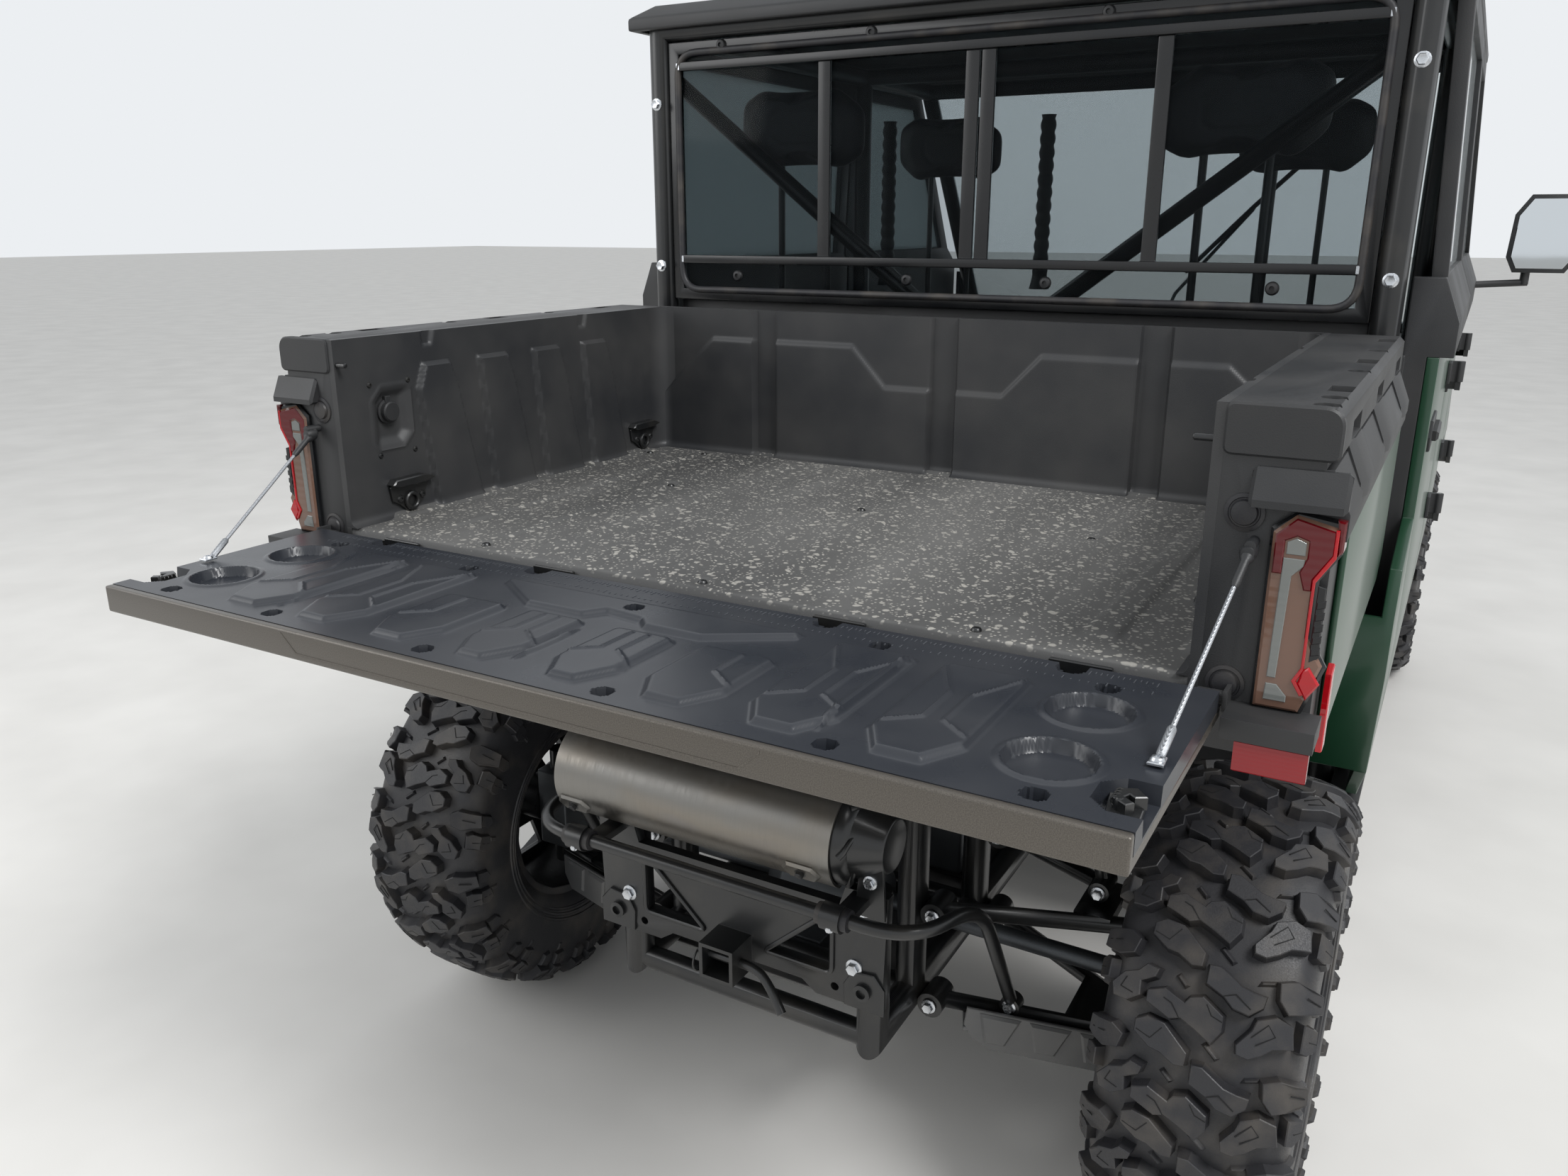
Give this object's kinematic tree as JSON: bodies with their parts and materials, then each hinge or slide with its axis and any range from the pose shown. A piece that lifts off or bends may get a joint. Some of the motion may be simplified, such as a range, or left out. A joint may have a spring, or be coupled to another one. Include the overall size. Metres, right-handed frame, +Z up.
{
  "type": "side by side utility vehicle",
  "caption": "Crew-cab side by side utility vehicle with four doors, a tilting cargo bed, a drop-down tailgate, steered front wheels and lugged tyres.",
  "frame": {"origin": "on the ground under the middle of the vehicle's whole length and width", "axes": "+Z up, +Y to the vehicle's rear, +X to its left"},
  "size_m": [2.232, 4.368, 2.0487],
  "materials": {
    "bed_plastic": "textured black with dust",
    "black_moulding": "fine textured black",
    "black_steel": "satin black powder coat",
    "cable_steel": "stranded cable",
    "clear_glass": "clear",
    "engine_metal": "dull cast",
    "green_paint": "dark green gloss",
    "grey_plastic": "moulded grey",
    "lamp_lens": "clear and red lenses",
    "rim_alloy": "black painted cast alloy",
    "seat_vinyl": "vinyl cover",
    "shield_metal": "satin",
    "tinted_glass": "tinted",
    "tyre_rubber": "matte lugged rubber"
  },
  "bodies": {
    "chassis": {"axle_drives": "engine_metal", "body_panels": "green_paint", "cab_glass": "tinted_glass", "cab_trim": "black_moulding", "cab_tub": "black_moulding", "dashboard": "black_moulding", "engine_block": "engine_metal", "front_fascia": "black_moulding", "front_seats": "seat_vinyl", "headlights": "lamp_lens", "heat_shield": "shield_metal", "main_frame": "black_steel", "muffler": "black_steel", "rear_crossmember": "black_steel", "rear_knuckles": "black_steel", "rear_seats": "seat_vinyl", "rear_window_frame": "black_moulding", "roll_cage": "black_steel", "roof": "black_moulding", "shock_absorbers": "black_steel", "suspension_links": "black_steel", "sway_bar": "black_steel", "underbody_guards": "grey_plastic"},
    "wheel_front_left": {"tyre_front_left": "tyre_rubber", "rim_front_left": "rim_alloy"},
    "door_front_left": {"door_skin_front_left": "green_paint", "door_frame_front_left": "black_moulding", "door_glass_front_left": "clear_glass"},
    "wheel_front_right": {"tyre_front_right": "tyre_rubber", "rim_front_right": "rim_alloy"},
    "door_front_right": {"door_skin_front_right": "green_paint", "door_frame_front_right": "black_moulding", "door_glass_front_right": "clear_glass"},
    "wheel_rear_left": {"tyre_rear_left": "tyre_rubber", "rim_rear_left": "rim_alloy"},
    "door_rear_left": {"door_skin_rear_left": "green_paint", "door_frame_rear_left": "black_moulding", "door_glass_rear_left": "clear_glass"},
    "wheel_rear_right": {"tyre_rear_right": "tyre_rubber", "rim_rear_right": "rim_alloy"},
    "door_rear_right": {"door_skin_rear_right": "green_paint", "door_frame_rear_right": "black_moulding", "door_glass_rear_right": "clear_glass"},
    "knuckle_left": {"knuckle_left": "black_steel"},
    "knuckle_right": {"knuckle_right": "black_steel"},
    "steering_wheel": {"steering_wheel": "black_moulding"},
    "tie_rods": {"tie_rods": "black_steel"},
    "hood": {"hood": "green_paint"},
    "bed": {"bed_liner": "bed_plastic", "bed_side_panels": "green_paint", "rail_caps": "black_moulding", "tail_lamps": "lamp_lens", "bed_frame": "black_steel", "tailgate_cables": "cable_steel"},
    "tailgate": {"tailgate_skin": "black_steel", "tailgate_liner": "bed_plastic"}
  },
  "joints": [
    {"name": "wheel_front_left_spin", "type": "hinge", "parent": "knuckle_left", "child": "wheel_front_left", "pos_m": [0.72, -1.594, 0.385], "axis": [1, 0, 0], "continuous": true},
    {"name": "wheel_front_right_spin", "type": "hinge", "parent": "knuckle_right", "child": "wheel_front_right", "pos_m": [-0.72, -1.594, 0.385], "axis": [1, 0, 0], "continuous": true},
    {"name": "wheel_rear_left_spin", "type": "hinge", "parent": "chassis", "child": "wheel_rear_left", "pos_m": [0.72, 1.332, 0.385], "axis": [1, 0, 0], "continuous": true},
    {"name": "wheel_rear_right_spin", "type": "hinge", "parent": "chassis", "child": "wheel_rear_right", "pos_m": [-0.72, 1.332, 0.385], "axis": [1, 0, 0], "continuous": true},
    {"name": "steer_left", "type": "hinge", "parent": "chassis", "child": "knuckle_left", "pos_m": [0.655, -1.594, 0.385], "axis": [0, 0, 1], "range_deg": [-30, 30]},
    {"name": "steer_right", "type": "hinge", "parent": "chassis", "child": "knuckle_right", "pos_m": [-0.655, -1.594, 0.385], "axis": [0, 0, 1], "range_deg": [-30, 30]},
    {"name": "steering_wheel_turn", "type": "hinge", "parent": "chassis", "child": "steering_wheel", "pos_m": [0.355, -0.839, 1.18], "axis": [0, 0.766, 0.6428], "range_deg": [-270, 270]},
    {"name": "tie_rod_slide", "type": "slide", "parent": "chassis", "child": "tie_rods", "axis": [-1, 0, 0], "range_m": [-0.05, 0.05]},
    {"name": "bed_tilt", "type": "hinge", "parent": "chassis", "child": "bed", "pos_m": [0, 1.632, 0.972], "axis": [-1, 0, 0], "range_deg": [0, 40]},
    {"name": "tailgate_drop", "type": "hinge", "parent": "bed", "child": "tailgate", "pos_m": [0, 1.802, 1.082], "axis": [1, 0, 0], "range_deg": [0, 90], "deforming": ["tailgate_cables"]},
    {"name": "door_front_left_swing", "type": "hinge", "parent": "chassis", "child": "door_front_left", "pos_m": [0.882, -1.145, 1], "axis": [0, 0, -1], "range_deg": [0, 70]},
    {"name": "door_front_right_swing", "type": "hinge", "parent": "chassis", "child": "door_front_right", "pos_m": [-0.882, -1.145, 1], "axis": [0, 0, 1], "range_deg": [0, 70]},
    {"name": "door_rear_left_swing", "type": "hinge", "parent": "chassis", "child": "door_rear_left", "pos_m": [0.882, -0.273, 1], "axis": [0, 0, -1], "range_deg": [0, 70]},
    {"name": "door_rear_right_swing", "type": "hinge", "parent": "chassis", "child": "door_rear_right", "pos_m": [-0.882, -0.273, 1], "axis": [0, 0, 1], "range_deg": [0, 70]},
    {"name": "hood_lift", "type": "hinge", "parent": "chassis", "child": "hood", "pos_m": [0, -1.311, 1.262], "axis": [-1, 0, 0], "range_deg": [0, 55]}
  ],
  "couplings": [
    {"joint": "steer_right", "follows": "steer_left", "ratio": 1},
    {"joint": "steering_wheel_turn", "follows": "steer_left", "ratio": 9},
    {"joint": "tie_rod_slide", "follows": "steer_left", "m_per_rad": 0.09549}
  ]
}
